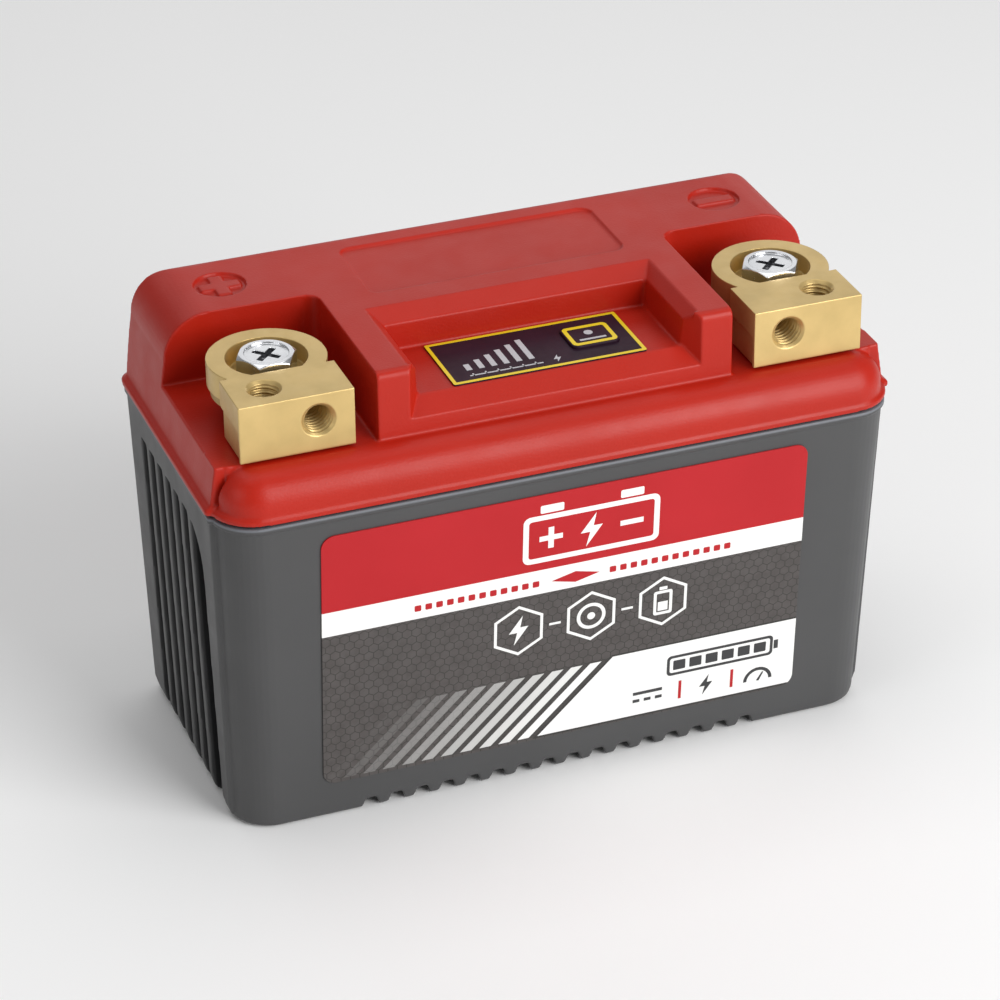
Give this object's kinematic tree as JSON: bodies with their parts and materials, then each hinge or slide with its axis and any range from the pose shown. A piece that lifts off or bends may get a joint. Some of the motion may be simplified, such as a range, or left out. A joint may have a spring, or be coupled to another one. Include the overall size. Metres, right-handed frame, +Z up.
{
  "type": "motorcycle battery",
  "caption": "Compact lithium motorcycle battery with a ribbed grey case, red notched cover, brass terminal blocks and a charge gauge with a test button.",
  "frame": {"origin": "bottom centre of the case", "axes": "+X along the length towards the negative terminal, +Y towards the back, +Z up; the front with the label and cable screws faces -Y"},
  "size_m": [0.134, 0.0644, 0.0905],
  "materials": {
    "case_grey": "fine matte moulded",
    "cover_red": "fine grained moulded",
    "black_rubber": "matte",
    "label_film": "printed film",
    "overlay_film": "printed film",
    "button_dark": "satin",
    "white_plastic": "moulded",
    "black_plastic": "moulded",
    "board_green": "solder mask",
    "clear_plastic": "translucent",
    "zinc_steel": "bright zinc plated",
    "cable_grey": "flexible jacket",
    "brass": "milled",
    "copper": "bare copper strip",
    "cell_sleeve": "shrink sleeve",
    "nickel": "nickel plated strip",
    "pressboard": "fibre board",
    "foam": "closed-cell foam",
    "chip_grey": "ceramic body",
    "lead_red": "insulated lead"
  },
  "bodies": {
    "battery": {"case": "case_grey", "cover": "cover_red", "cover_gasket": "black_rubber", "front_label": "label_film", "gauge_overlay": "overlay_film", "switch_body": "black_plastic", "gauge_board": "board_green", "gauge_leds": "clear_plastic", "light_guide": "clear_plastic", "gauge_board_screws": "zinc_steel", "gauge_cable": "cable_grey", "terminal_block_positive": "brass", "terminal_block_negative": "brass", "terminal_base_positive": "brass", "terminal_base_negative": "brass", "terminal_seal_positive": "black_rubber", "terminal_seal_negative": "black_rubber", "busbar_positive": "copper", "busbar_negative": "copper", "cell_1": "cell_sleeve", "cell_2": "cell_sleeve", "cell_3": "cell_sleeve", "cell_4": "cell_sleeve", "cell_holder_top": "black_plastic", "cell_holder_bottom": "black_plastic", "cell_links_bottom": "nickel", "cell_link_top": "nickel", "base_pad": "pressboard", "foam_front": "foam", "foam_rear": "foam", "balance_board": "board_green", "balance_board_screws": "zinc_steel", "balance_chips": "black_plastic", "balance_resistors": "chip_grey", "balance_connector": "white_plastic", "balance_leads": "lead_red"},
    "test_key": {"test_button": "button_dark", "switch_plunger": "white_plastic"},
    "bolt_seat_positive": {"terminal_washer_positive": "zinc_steel"},
    "bolt_positive": {"terminal_bolt_positive": "zinc_steel"},
    "bolt_seat_negative": {"terminal_washer_negative": "zinc_steel"},
    "bolt_negative": {"terminal_bolt_negative": "zinc_steel"}
  },
  "joints": [
    {"name": "test_button_press", "type": "slide", "parent": "battery", "child": "test_key", "axis": [0, 0, -1], "range_m": [0, 0.00035], "stiffness_N_per_m": 900, "springref_m": -0.0005},
    {"name": "positive_bolt_rise", "type": "slide", "parent": "battery", "child": "bolt_seat_positive", "axis": [0, 0, 1], "range_m": [0, 0.01]},
    {"name": "positive_bolt_turn", "type": "hinge", "parent": "bolt_seat_positive", "child": "bolt_positive", "pos_m": [-0.0495, -0.0084, 0.0857], "axis": [0, 0, 1], "range_deg": [0, 3600]},
    {"name": "negative_bolt_rise", "type": "slide", "parent": "battery", "child": "bolt_seat_negative", "axis": [0, 0, 1], "range_m": [0, 0.01]},
    {"name": "negative_bolt_turn", "type": "hinge", "parent": "bolt_seat_negative", "child": "bolt_negative", "pos_m": [0.0495, -0.0084, 0.0857], "axis": [0, 0, 1], "range_deg": [0, 3600]}
  ],
  "couplings": [
    {"joint": "positive_bolt_turn", "follows": "positive_bolt_rise", "rad_per_m": 6283.2},
    {"joint": "negative_bolt_turn", "follows": "negative_bolt_rise", "rad_per_m": 6283.2}
  ]
}
